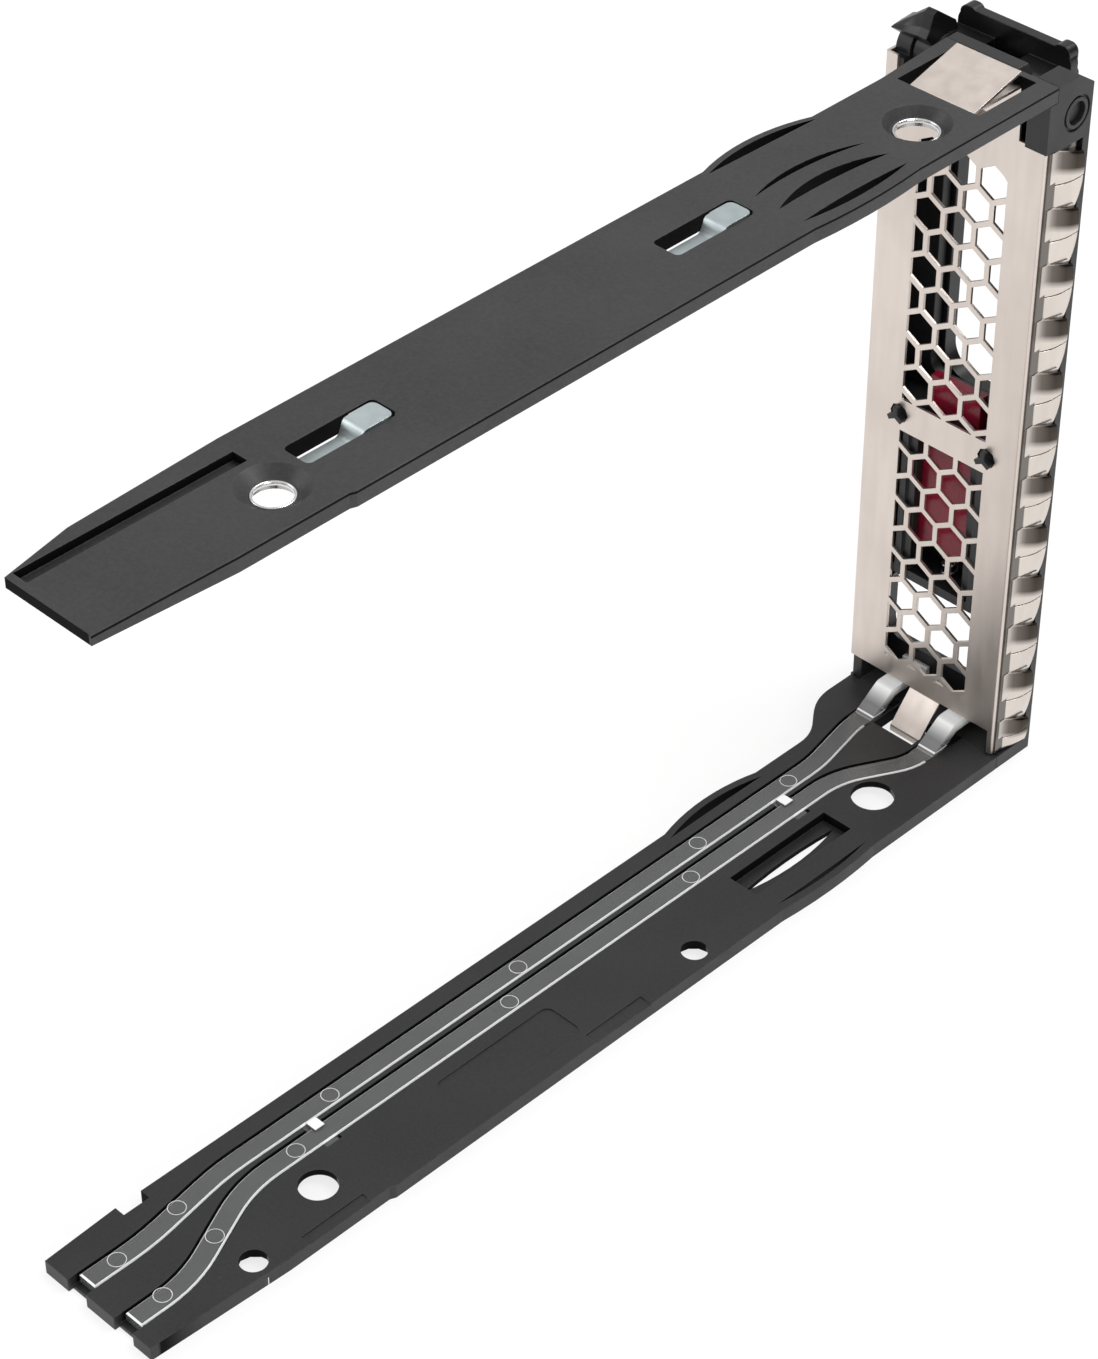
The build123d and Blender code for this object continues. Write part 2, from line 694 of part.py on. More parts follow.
# Vent shield: one folded sheet with honeycomb, side flanges and two tongues
hole_radius = (hex_pitch - hex_web) / math.sqrt(3)
row_step = hex_pitch * math.sqrt(3) / 2
hex_centres = []
for row in range(math.ceil((vent_high_z - vent_low_z) / row_step) + 1):
    columns = (-1, 0, 1) if row % 2 == 0 else (-1.5, -0.5, 0.5, 1.5)
    for column in columns:
        hex_centres.append((mid_x + column * hex_pitch, top_row_z - row * row_step))
with BuildPart() as vent_shield:
    with BuildSketch(Plane.XZ.offset(-shield_back_y)):
        with BuildLine():
            Polyline(
                (across(flange_recess - sheet), strip_low_z),
                (across(leg_far), strip_low_z),
                (across(leg_far), shield_low_z),
                (far_x, shield_low_z),
                (far_x, ear_top_z),
                (across(ear_inset), ear_top_z),
                (across(ear_inset), shield_top_z),
                (across(flange_recess - sheet), shield_top_z),
                (across(flange_recess - sheet), strip_low_z),
            )
        make_face()
    extrude(amount=sheet)
    for low, high in ((vent_low_z, gap_low_z), (gap_high_z, vent_high_z)):
        with BuildSketch(Plane.XZ.offset(-shield_back_y)):
            with Locations(*hex_centres):
                RegularPolygon(hole_radius, 6, rotation=30)
            with Locations((mid_x, (low + high) / 2)):
                Rectangle(2 * panel_half_width, high - low, mode=Mode.INTERSECT)
            # The near top corner of the upper panel is cut off
            with Locations((mid_x - panel_half_width, vent_high_z)):
                Rectangle(corner_cut, corner_cut, rotation=45, mode=Mode.SUBTRACT)
        extrude(amount=sheet, mode=Mode.SUBTRACT)
    with BuildSketch(Plane.XZ.offset(-shield_back_y)):
        with Locations((mid_x - stake_half_pitch, stake_z), (mid_x + stake_half_pitch, stake_z)):
            RegularPolygon(1.45, 8)
    extrude(amount=sheet, mode=Mode.SUBTRACT)
    # Side flanges that wrap the bezel
    with BuildSketch(Plane.XY.offset(strip_low_z)):
        with Locations((across(flange_recess - sheet / 2), shield_back_y - flange_length / 2)):
            Rectangle(sheet, flange_length)
    extrude(amount=shield_top_z - strip_low_z)
    with BuildSketch(Plane.XY.offset(shield_low_z)):
        with Locations((far_x - sheet / 2, shield_back_y - flange_length / 2)):
            Rectangle(sheet, flange_length)
    extrude(amount=ear_top_z - shield_low_z)
    bends = vent_shield.edges().filter_by(Axis.Z).group_by(Axis.Y)[-1]
    bends = bends.filter_by(lambda edge: edge.length > 60)
    fillet(bends, radius=sheet * 0.9)
    # Top tongue: up behind the bar, back through the window and folded forward
    neck = sheet_profile(
        [(bezel_back_y + sheet / 2, shield_top_z - 1.0), (bezel_back_y + sheet / 2, upper_z + 0.5),
         (along(-7.6), upper_z + 0.5)],
        0.45, sheet)
    flap = sheet_profile(
        [(along(-9.6), upper_z + 0.5), (along(-7.0), upper_z + 0.5), (along(-7.3), upper_z + 1.3),
         (along(-15.6), height + 1.4)],
        0.25, sheet)
    extrude(neck.moved(Location((across(tongue_neck), 0, 0))), amount=tongue_far - tongue_neck,
            dir=(1, 0, 0))
    extrude(flap.moved(Location((across(tongue_near), 0, 0))), amount=tongue_far - tongue_near,
            dir=(1, 0, 0))
    # Bottom tongue: down and back through the window of the lower rail
    low_tongue = sheet_profile(
        [(bezel_back_y + sheet / 2, shield_low_z + 0.8), (bezel_back_y + sheet / 2, shield_low_z - 0.2),
         (along(-14.0), 1.3), (along(-14.0), 0.4), (along(-16.6), 0.3)],
        0.3, sheet)
    low_near = across(low_window_near + low_tongue_gap)
    extrude(low_tongue.moved(Location((low_near, 0, 0))), amount=low_tongue_width, dir=(1, 0, 0))
finish(vent_shield, "vent_shield")

# Finger strip: a flat leaf with fingers that arch outwards, each slit across its crest
strip_outer_x = across(strip_outer_inset)
strip_front_y = shield_back_y - flange_length - 0.1
finger_back_y = shield_back_y - 1.9
crest = finger_proud + strip_outer_inset
# Each half as (share of the crest, share of the pitch) down from the top of the finger
upper_half = ((0.0, 0.0), (0.42, 0.06), (0.82, 0.18), (1.0, 0.35), (1.0, 0.6))
lower_half = ((0.98, 0.625), (0.85, 0.76), (0.5, 0.89), (0.0, 0.97))
# The fingers lie almost flat at the back and arch fully at the front
finger_stations = ((finger_back_y, 0.45), (strip_front_y, 1.0))


def finger_section(half, top_z, drop, y, rise):
    """Section of half a finger at this depth."""
    outer = [(strip_outer_x - out * rise * crest, top_z - down * drop) for out, down in half]
    inner = [(x + strip_thick, z) for x, z in reversed(outer)]
    with BuildSketch(Plane.XZ.offset(-y)) as section:
        with BuildLine():
            Polyline(*outer, *inner, close=True)
        make_face()
    return section.sketch


with BuildPart() as finger_strip:
    with BuildSketch(Plane.XY.offset(strip_low_z)):
        with Locations((strip_outer_x + strip_thick / 2, (shield_back_y - 0.5 + strip_front_y) / 2)):
            Rectangle(strip_thick, shield_back_y - 0.5 - strip_front_y)
    extrude(amount=shield_top_z - 1.9 - strip_low_z)
    for number in range(finger_count):
        top_z = finger_top_z - number * finger_pitch
        drop = finger_pitch
        if number == finger_count - 1:
            drop = top_z - strip_low_z
        for half in (upper_half, lower_half):
            loft(sections=[finger_section(half, top_z, drop, y, rise)
                           for y, rise in finger_stations], ruled=True)
        # Tab of the finger, lying on the flat leaf
        with BuildSketch(Plane.XY.offset(top_z - finger_share * drop)):
            with Locations((strip_outer_x - strip_thick / 4, finger_back_y + 0.5)):
                Rectangle(strip_thick / 2, 1.0)
        extrude(amount=finger_share * drop)
finish(finger_strip, "finger_strip")

# Light pipe: two arms in one clear moulding, climbing to the lenses in the bezel
lens_back_y = front_wall_y + lens_flange
exit_mid_z = pipe_exit_z + pipe_height / 2
pipe_low_z = channel_floor + pipe_lift
floor_mid_z = pipe_low_z + pipe_height / 2
with BuildPart() as light_pipe:
    with BuildSketch(Plane.XY.offset(pipe_low_z)):
        add(route_band(far_route, far_radii, pipe_width))
        add(route_band(near_route, near_radii, pipe_width))
    extrude(amount=pipe_height)
    chamfer(light_pipe.faces().filter_by(Plane.XY).group_by(Axis.Z)[-1].edges(),
            length=pipe_chamfer)
    with BuildSketch(Plane.XY.offset(pipe_low_z)):
        for station in bridge_stations:
            with Locations((across(bridge_mid_inset), along(station))):
                Rectangle(bridge_width, bridge_length)
    extrude(amount=pipe_height * 0.8)
    # Small block on each bridge, against the near arm
    with BuildSketch(Plane.XY.offset(pipe_low_z)):
        for station in bridge_stations:
            with Locations((across(bridge_mid_inset + 0.5), along(station - 0.3))):
                Rectangle(1.7, 1.5)
    extrude(amount=pipe_height + 0.35)
    climb = sheet_profile(
        [(climb_y + 1.0, floor_mid_z), (climb_y - 0.6, floor_mid_z),
         (along(-16.6), exit_mid_z), (lens_back_y, exit_mid_z)],
        0.9, pipe_height)
    for exit_inset in (far_exit, near_exit):
        extrude(climb.moved(Location((across(exit_inset - pipe_width / 2), 0, 0))),
                amount=pipe_width, dir=(1, 0, 0))
finish(light_pipe, "light_pipe")

# White lenses at the ends of the light pipe
for name, exit_inset in (("status", near_exit), ("activity", far_exit)):
    with BuildPart() as lens:
        with BuildSketch(Plane.XZ.offset(-front_wall_y)):
            with Locations((across(exit_inset), exit_mid_z)):
                Rectangle(lens_width, lens_height)
        extrude(amount=front_wall)
        with BuildSketch(Plane.XZ.offset(-front_wall_y)):
            with Locations((across(exit_inset), exit_mid_z)):
                Rectangle(lens_width + 2 * lens_margin, lens_height + lens_margin)
        extrude(amount=-lens_flange)
    finish(lens, f"{name}_lens")


def around_pivot(back, up):
    """A place in the side view, measured from the pivot of the lever."""
    return (pivot_y + back, pivot_z + up)


# Section of the claw at its near tooth and at its far end, measured from the pivot
claw_high = ((-3.0, 1.0), (-1.6, 4.2), (-0.1, 5.3), (2.1, 6.9), (2.8, 6.6), (3.4, 4.6),
             (4.0, 3.6), (2.5, 2.0))
claw_low = ((-3.0, 1.0), (-2.2, 2.8), (-0.1, 3.7), (2.1, 3.6), (2.8, 3.5), (3.5, 3.45),
            (4.1, 3.3), (2.6, 2.1))


def claw_profile(places, x):
    """Section of the claw across the tray at this X."""
    with BuildSketch(Plane.YZ.offset(x)) as section:
        with BuildLine():
            Polyline(*[around_pivot(back, up) for back, up in places], close=True)
        make_face()
    return section.sketch


# Ejector lever: plate with a long window, hub in two halves, claw and latch tooth
hub_near = near_block + lever_side_gap
hub_far = tray_width - sheet - far_block - lever_side_gap
with BuildPart() as ejector_lever:
    with BuildSketch(Plane.XZ.offset(-lever_back_y)):
        with Locations((across((lever_near + lever_far) / 2), (lever_low_z + lever_top_z) / 2)):
            RectangleRounded(lever_far - lever_near, lever_top_z - lever_low_z, 2.0)
        with Locations((across((lever_near + lever_far) / 2 + 1.15),
                        (divider_high_z + frame_top_z) / 2 - 0.9)):
            RectangleRounded(lever_far - lever_near - 5.9, frame_top_z - divider_high_z - 5.4, 4.0,
                             mode=Mode.SUBTRACT)
    extrude(amount=lever_thick)
    chamfer(ejector_lever.faces().sort_by(Axis.Y)[0].outer_wire().edges(), length=0.5)
    # Thin wall along the top, with a low lobe at each end
    with BuildSketch(Plane.XZ.offset(-lever_front_y)):
        with Locations((across((lever_near + lever_far) / 2), lever_top_z)):
            Rectangle(lever_far - lever_near, 2 * wing_height)
    extrude(amount=wing_thick - lever_thick, mode=Mode.SUBTRACT)
    with BuildSketch(Plane.XZ.offset(-lever_back_y)):
        with Locations((across(lever_near + 1.6), lever_top_z - 1.0),
                       (across(lever_far - 1.6), lever_top_z - 1.1)):
            RectangleRounded(2.6, 2.8, 1.1)
    extrude(amount=wing_thick + 0.3)
    # Hub halves on the pin, with webs to the plate
    for half_near, half_far in ((hub_near, hub_gap_near), (hub_gap_far, hub_far)):
        with BuildSketch(Plane.YZ.offset(across(half_near))):
            with Locations((pivot_y, pivot_z)):
                Circle(hub_radius)
            with Locations(((pivot_y + lever_back_y) / 2, pivot_z)):
                Rectangle(pivot_y - lever_back_y, 2 * hub_radius)
        extrude(amount=half_far - half_near)
    # Claw that hooks into the chassis: high at its near tooth, sloping down over the far block
    near_claw = claw_profile(claw_high, across(claw_near))
    high_claw = claw_profile(claw_high, across(claw_peak_far))
    low_claw = claw_profile(claw_low, across(claw_far))
    loft(sections=[near_claw, high_claw], ruled=True)
    loft(sections=[high_claw, low_claw], ruled=True)
    with BuildSketch(Plane.YZ.offset(across(hub_far))):
        with Locations((pivot_y, pivot_z)):
            Circle(block_radius + lever_side_gap)
    extrude(amount=claw_far - hub_far, mode=Mode.SUBTRACT)
    with BuildSketch(Plane.YZ.offset(near_x)):
        with Locations((pivot_y, pivot_z)):
            Circle(pin_radius + pin_play)
    extrude(amount=tray_width, mode=Mode.SUBTRACT)
    # Tooth above the nose of the latch
    with BuildSketch(Plane.YZ.offset(mid_x - tooth_width / 2)):
        with BuildLine():
            Polyline(
                (lever_back_y - 0.5, tooth_low_z),
                (lever_back_y + tooth_reach, tooth_low_z),
                (lever_back_y + tooth_reach, tooth_low_z + 1.0),
                (lever_back_y, tooth_low_z + 2.2),
                (lever_back_y - 0.5, tooth_low_z + 2.2),
                (lever_back_y - 0.5, tooth_low_z),
            )
        make_face()
    extrude(amount=tooth_width)
finish(ejector_lever, "ejector_lever")

# Pivot pin, pressed into both blocks of the bezel
with BuildPart() as pivot_pin:
    with BuildSketch(Plane.YZ.offset(across(pin_near))):
        with Locations((pivot_y, pivot_z)):
            Circle(pin_radius)
    extrude(amount=pin_far - pin_near)
finish(pivot_pin, "pivot_pin")


def wound_wire(start, end, radius, turns, wire, start_turn=0):
    """Wire wound round the line from start to end, and the corners that it passes."""
    run = Vector(*end) - Vector(*start)
    axis = Plane(origin=start, z_dir=run)
    steps = round(turns * runs_per_turn)
    corners = []
    for step in range(steps + 1):
        angle = math.radians(start_turn + 360 * step / runs_per_turn)
        place = (radius * math.cos(angle), radius * math.sin(angle), run.length * step / steps)
        corners.append(axis.from_local_coords(place))
    first_run = corners[1] - corners[0]
    section = Plane(origin=corners[0], z_dir=first_run) * RegularPolygon(wire / 2, wire_sides)
    return sweep(section, path=Polyline(*corners), transition=Transition.RIGHT), corners


def straight_wire(start, end, wire):
    """Round wire between two points."""
    run = Vector(*end) - Vector(*start)
    base = Plane(origin=start, z_dir=run)
    return extrude(base * RegularPolygon(wire / 2, wire_sides), amount=run.length)


# Torsion spring round the pin, with one leg on the bezel and one against the lever
coil_start = across(hub_gap_near + 0.5)
coil_length = hub_gap_far - hub_gap_near - 1.0
torsion_coil, torsion_corners = wound_wire(
    (coil_start, pivot_y, pivot_z), (coil_start + coil_length, pivot_y, pivot_z),
    torsion_radius, torsion_turns, torsion_wire, 90)
leg_plate = Vector(coil_start, lever_back_y + torsion_wire, frame_top_z + 0.8)
leg_frame = Vector(coil_start + coil_length, pivot_y + 1.2, frame_top_z + torsion_wire / 2)
plate_leg = straight_wire(tuple(torsion_corners[0]), tuple(leg_plate), torsion_wire)
frame_leg = straight_wire(tuple(torsion_corners[-1]), tuple(leg_frame), torsion_wire)
with BuildPart() as lever_spring:
    add(torsion_coil)
    add(plate_leg)
    add(frame_leg)
finish(lever_spring, "lever_spring")

# Release latch with its nose, its paddle in front and a pocket for the spring
with BuildPart() as release_latch:
    with BuildSketch(Plane.XY.offset(latch_low_z)):
        with Locations((mid_x, spring_y)):
            Rectangle(latch_width, latch_depth)
    extrude(amount=latch_top_z - latch_low_z)
    with BuildSketch(Plane.YZ.offset(mid_x - nose_width / 2)):
        with BuildLine():
            Polyline(
                (latch_back_y - 0.8, latch_top_z - 0.5),
                (latch_front_y, latch_top_z - 0.5),
                (latch_front_y, tooth_low_z - nose_gap),
                (latch_back_y - 1.6, tooth_low_z - nose_gap),
                (latch_back_y - 0.8, latch_top_z - 0.5),
            )
        make_face()
    extrude(amount=nose_width)
    with BuildSketch(Plane.XZ.offset(-latch_front_y)):
        with Locations((mid_x, (paddle_low_z + latch_top_z - 0.3) / 2)):
            RectangleRounded(paddle_width, latch_top_z - 0.3 - paddle_low_z, 0.8)
    extrude(amount=latch_front_y - bezel_front_y + paddle_reach)
    with Locations((mid_x, spring_y, latch_low_z)):
        Cylinder(spring_radius + 0.35, shelf_z + spring_length - latch_low_z,
                 align=(Align.CENTER, Align.CENTER, Align.MIN), mode=Mode.SUBTRACT)
    # Arm that reaches up through the divider, behind the tooth of the lever
    with BuildSketch(Plane.XY.offset(latch_top_z - 1.0)):
        with Locations((mid_x, latch_back_y - latch_arm_thick / 2)):
            Rectangle(latch_arm_width, latch_arm_thick)
    extrude(amount=latch_arm_top_z - latch_top_z + 1.0)
finish(release_latch, "release_latch")

# Compression spring under the latch
latch_coil = wound_wire(
    (mid_x, spring_y, shelf_z + spring_wire / 2),
    (mid_x, spring_y, shelf_z + spring_length - spring_wire / 2),
    spring_radius, spring_turns, spring_wire)[0]
with BuildPart() as latch_spring:
    add(latch_coil)
finish(latch_spring, "latch_spring")
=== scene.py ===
import bpy
import math
from mathutils import Matrix, Vector

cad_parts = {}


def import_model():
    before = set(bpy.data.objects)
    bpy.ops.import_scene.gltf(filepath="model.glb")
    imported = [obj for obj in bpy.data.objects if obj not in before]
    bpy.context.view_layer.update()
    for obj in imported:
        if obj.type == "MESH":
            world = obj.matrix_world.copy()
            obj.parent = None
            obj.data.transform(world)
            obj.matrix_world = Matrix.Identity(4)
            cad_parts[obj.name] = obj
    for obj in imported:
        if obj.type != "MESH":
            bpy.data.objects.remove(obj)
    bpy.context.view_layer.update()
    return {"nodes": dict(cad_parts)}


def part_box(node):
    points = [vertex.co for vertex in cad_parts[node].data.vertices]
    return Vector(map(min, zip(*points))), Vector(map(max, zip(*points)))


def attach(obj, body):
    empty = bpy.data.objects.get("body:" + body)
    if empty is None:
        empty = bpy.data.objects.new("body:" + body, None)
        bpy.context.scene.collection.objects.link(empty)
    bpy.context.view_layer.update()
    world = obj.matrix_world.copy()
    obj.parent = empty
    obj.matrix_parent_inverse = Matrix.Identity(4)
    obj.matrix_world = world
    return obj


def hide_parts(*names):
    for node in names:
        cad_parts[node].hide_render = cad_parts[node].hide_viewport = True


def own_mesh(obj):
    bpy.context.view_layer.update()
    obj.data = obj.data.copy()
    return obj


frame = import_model()
nodes = frame["nodes"]
scene = bpy.context.scene
MM = 0.001

# Camera fitted to the photograph, in metres and degrees, with its lens and sensor in mm
CAMERA_PLACE = (-0.24587, 0.24771, 0.32954)
CAMERA_AHEAD = (0.5627, -0.5240, -0.6394)
CAMERA_TURN = 227.045
CAMERA_ROLL = -1.622
CAMERA_LENS = 98.204
CAMERA_SENSOR = 36
CAMERA_SHIFT = (0.0699, 0.0471)

# Rails in metres: the end of their tails, their near side, and the height of the groove along the upper
# one, where a painted shadow line runs
RAIL_TAIL = 0.0801
RAIL_NEAR = -0.0128
GROOVE_Z = 0.10565

# Finger strip, in mm unless the comment says otherwise
FINGER_COUNT = 12
FINGER_TOP = 96.6
FINGER_PITCH = 8.0806
FINGER_THICK = 0.22
FINGER_ROOT = 1.4
TAB_LIFT = 0.1
TAB_BEFORE = 0.3
TAB_PAST = 1.0
TAB_SHARE = 0.55
# Points of a finger's two halves, as (how far out it bulges, how far down the pitch), both as shares
UPPER_HALF = ((0.72, 0.0), (0.83, 0.04), (0.92, 0.1), (0.98, 0.18), (1.0, 0.27), (1.0, 0.38),
              (0.985, 0.5), (0.95, 0.6))
LOWER_HALF = ((0.93, 0.62), (0.88, 0.7), (0.79, 0.78), (0.65, 0.87), (0.45, 0.96), (0.22, 1.05))
# The top edge falls towards the free end, and the slit rises towards it, as (share of the height, mm)
SLANT = ((0.0, -1.2), (0.38, 0.0), (0.61, 0.5), (1.05, -1.2))
# How much of the bulge is reached from the root to the free end, as (way along, share of the bulge)
DEPTHS = ((0.0, 0.0), (0.1, 0.2), (0.22, 0.42), (0.38, 0.65), (0.55, 0.83), (0.75, 0.95), (1.0, 1.0))

# Painted shade on the fingers' upper parts and on the recessed base of the strip, with the root and the
# length of a finger in metres
RECESS_SHADE_X = -0.01238
SHADE_ROOT_Y = -0.0710
SHADE_LENGTH = 0.0052
SHADE_SLANT = 0.14
PAINTED_SHADE_COLOR = (0.04, 0.03, 0.023)

# Spring clips in mm, with how far they reach sideways as a share of half their width
CLIP_THICK = 0.35
CLIP_NEAR = -1.0
CLIP_FAR = 0.7
# Bend as (back from the head's end, share of the rise), head as (back, near reach, far reach)
CLIP_BEND = ((5.9, 0.0), (5.6, 0.04), (5.3, 0.2), (5.05, 0.5), (4.8, 0.8), (4.5, 0.96), (4.2, 1.0))
CLIP_HEAD = ((3.9, -1.0, 0.7), (3.6, -1.0, 0.76), (1.1, -1.0, 0.76), (0.7, -0.97, 0.73),
             (0.4, -0.86, 0.62), (0.25, -0.7, 0.46), (0.2, -0.5, 0.26))

# Eyelets in mm, with the section of the rounded lip as (past the bore, up from the underside)
EYELET_FLANGE = 0.95
EYELET_STEPS = 56
EYELET_LIP = ((0.0, 0.62), (0.04, 0.56), (0.28, 0.54), (0.28, 0.0), (0.94, 0.0), (0.94, 0.34),
              (0.34, 0.34), (0.34, 0.98), (0.3, 1.06), (0.2, 1.1), (0.1, 1.08), (0.02, 1.0))

# Latch spring, in mm
COIL_WIRE = 0.175
COIL_RADIUS = 1.05
COIL_TURNS = 6
COIL_STEPS = 20
COIL_SIDES = 8

# Ring marks on the light pipe in mm, as (from the near side, back from the front screw hole)
PIPE_MARKS = ((16.1, 116.1), (14.8, 126.6), (9.4, 115.9), (6.7, 126.4), (17.1, 90.2), (13.0, 99.6),
              (16.9, 57.5), (13.1, 62.8), (17.0, 23.6), (13.0, 29.2), (17.0, 5.6))
MARK_ORIGIN = (-12.8, -52.7)
MARK_Z = 2.05
MARK_RADIUS = 1.15
MARK_WIRE = 0.055
MARK_FLATNESS = 0.6
MARK_STEPS = 28
MARK_SIDES = 6

# Studio in metres and watts, each lamp as (name, place, size, power)
FLOOR_REACH = 6
FLOOR_DROP = 0.00005
FLOOR_GLOW = 0.78
WORLD_STRENGTH = 0.75
WORLD_DARK_SIDE = (-0.85, -0.3, 0.32)
WORLD_DARK_COLOR = (0.1, 0.08, 0.06, 1)
WORLD_FADE = (0.72, 0.87)
LAMP_TARGET = (0, 0, 0.05)
LAMPS = (("key", (-0.25, -0.45, 1.1), 0.7, 9),
         ("fill", (0.8, 0.6, 0.6), 0.7, 3),
         ("side", (-0.9, 0.25, 0.3), 0.5, 4))


def camera():
    data = bpy.data.cameras.new("camera")
    cam = bpy.data.objects.new("camera", data)
    scene.collection.objects.link(cam)
    turn = math.radians(CAMERA_TURN)
    roll = math.radians(CAMERA_ROLL)
    ahead = Vector(CAMERA_AHEAD).normalized()
    side = Vector((math.cos(turn), math.sin(turn), 0))
    over = side.cross(ahead)
    side_rolled = math.cos(roll) * side + math.sin(roll) * over
    over_rolled = -math.sin(roll) * side + math.cos(roll) * over
    turned = Matrix((side_rolled, over_rolled, -ahead)).transposed()
    cam.matrix_world = Matrix.Translation(Vector(CAMERA_PLACE)) @ turned.to_4x4()
    data.lens = CAMERA_LENS
    data.sensor_width = CAMERA_SENSOR
    data.shift_x, data.shift_y = CAMERA_SHIFT
    data.clip_start = 0.01
    data.clip_end = 20
    scene.camera = cam


def scaled(color, share):
    return tuple(share * part for part in color)


class Shader:
    """Material with a Principled BSDF and short ways to add the nodes that feed it."""

    def __init__(self, name):
        self.material = bpy.data.materials.new(name)
        self.material.use_nodes = True
        self.tree = self.material.node_tree
        self.tree.nodes.clear()
        self.out = self.node("OutputMaterial")
        self.main = self.node("BsdfPrincipled")
        self.link(self.main.outputs["BSDF"], self.out.inputs["Surface"])
        self.place = self.node("TexCoord").outputs["Object"]

    def node(self, kind):
        return self.tree.nodes.new("ShaderNode" + kind)

    def link(self, start, end):
        self.tree.links.new(start, end)

    def feed(self, **sources):
        for key, source in sources.items():
            self.link(source, self.main.inputs[key.replace("_", " ")])

    def set(self, **values):
        for key, value in values.items():
            self.main.inputs[key.replace("_", " ")].default_value = value

    def parts(self, vector):
        """X, Y and Z of a vector."""
        node = self.node("SeparateXYZ")
        self.link(vector, node.inputs[0])
        return node.outputs

    def normal(self):
        return self.node("NewGeometry").outputs["Normal"]

    def noise(self, scale, detail=3, stretch=(1, 1, 1)):
        mapping = self.node("Mapping")
        mapping.inputs["Scale"].default_value = stretch
        self.link(self.place, mapping.inputs["Vector"])
        node = self.node("TexNoise")
        node.inputs["Scale"].default_value = scale
        node.inputs["Detail"].default_value = detail
        self.link(mapping.outputs["Vector"], node.inputs["Vector"])
        return node.outputs["Fac"]

    def ramp(self, source, stops):
        node = self.node("ValToRGB")
        ramp = node.color_ramp
        while len(ramp.elements) < len(stops):
            ramp.elements.new(0.5)
        for element, (at, value) in zip(ramp.elements, stops):
            element.position = at
            color = value if isinstance(value, tuple) else (value, value, value)
            element.color = (*color, 1)
        self.link(source, node.inputs["Fac"])
        return node.outputs["Color"]

    def mix(self, factor, first, second):
        node = self.node("Mix")
        node.data_type = "RGBA"
        for socket, value in ((node.inputs[0], factor), (node.inputs[6], first), (node.inputs[7], second)):
            if isinstance(value, bpy.types.NodeSocket):
                self.link(value, socket)
            else:
                socket.default_value = (*value, 1)
        return node.outputs[2]

    def math(self, kind, *values):
        node = self.node("Math")
        node.operation = kind
        for socket, value in zip(node.inputs, values):
            if isinstance(value, bpy.types.NodeSocket):
                self.link(value, socket)
            else:
                socket.default_value = value
        return node.outputs[0]

    def times(self, first, second):
        return self.math("MULTIPLY", first, second)

    def past(self, value, start, scale):
        """How far the value lies past the start, times the scale."""
        return self.times(self.math("SUBTRACT", value, start), scale)

    def bump(self, height, strength, distance, below=None):
        node = self.node("Bump")
        node.inputs["Strength"].default_value = strength
        node.inputs["Distance"].default_value = distance
        self.link(height, node.inputs["Height"])
        if below is not None:
            self.link(below, node.inputs["Normal"])
        return node.outputs["Normal"]

    def rounded(self, radius):
        node = self.node("Bevel")
        node.samples = 4
        node.inputs["Radius"].default_value = radius
        return node.outputs["Normal"]

    def edges(self, radius):
        """1 along the sharp edges, where handling has polished them and where a highlight is painted, and 0
        elsewhere.
        """
        dot = self.node("VectorMath")
        dot.operation = "DOT_PRODUCT"
        self.link(self.rounded(radius), dot.inputs[0])
        self.link(self.normal(), dot.inputs[1])
        return self.ramp(self.math("SUBTRACT", 1.0, dot.outputs["Value"]), [(0.03, 0.0), (0.25, 1.0)])

    def specks(self, scale, size):
        """Small scattered dots, such as dust on dark plastic."""
        cells = self.node("TexVoronoi")
        cells.inputs["Scale"].default_value = scale
        self.link(self.place, cells.inputs["Vector"])
        dots = self.ramp(cells.outputs["Distance"], [(0.0, 1.0), (size, 0.0)])
        chosen = self.ramp(self.noise(scale * 0.35, 1), [(0.62, 0.0), (0.66, 1.0)])
        return self.times(dots, chosen)


def shaded_walls(s, tail, near, groove=None):
    """1 where shade is painted: on the walls inside a rail's windows and slots, and as a painted shadow
    line along the groove below its near edge.
    """
    normal = s.parts(s.normal())
    spot = s.parts(s.place)
    upright = s.ramp(s.math("ABSOLUTE", normal["Z"]), [(0.3, 1.0), (0.5, 0.0)])
    sideways = s.math("MULTIPLY_ADD", normal["X"], 0.5, 0.5)
    facing = s.ramp(sideways, [(0.6, 1.0), (0.66, 0.0)])
    inside = s.ramp(s.past(spot["X"], near, 100.0), [(0.1, 0.0), (0.13, 1.0)])
    ahead = s.ramp(s.past(tail, spot["Y"], 100.0), [(0.1, 0.0), (0.15, 1.0)])
    shade = s.times(s.times(upright, facing), s.times(inside, ahead))
    if groove:
        outer = s.times(upright, s.ramp(sideways, [(0.04, 1.0), (0.08, 0.0)]))
        band = s.ramp(s.past(spot["Z"], groove, 1000.0), [(0.0, 0.0), (0.05, 1.0), (0.3, 1.0), (0.35, 0.0)])
        shade = s.math("MAXIMUM", shade, s.times(outer, band))
    return s.times(shade, 0.85)


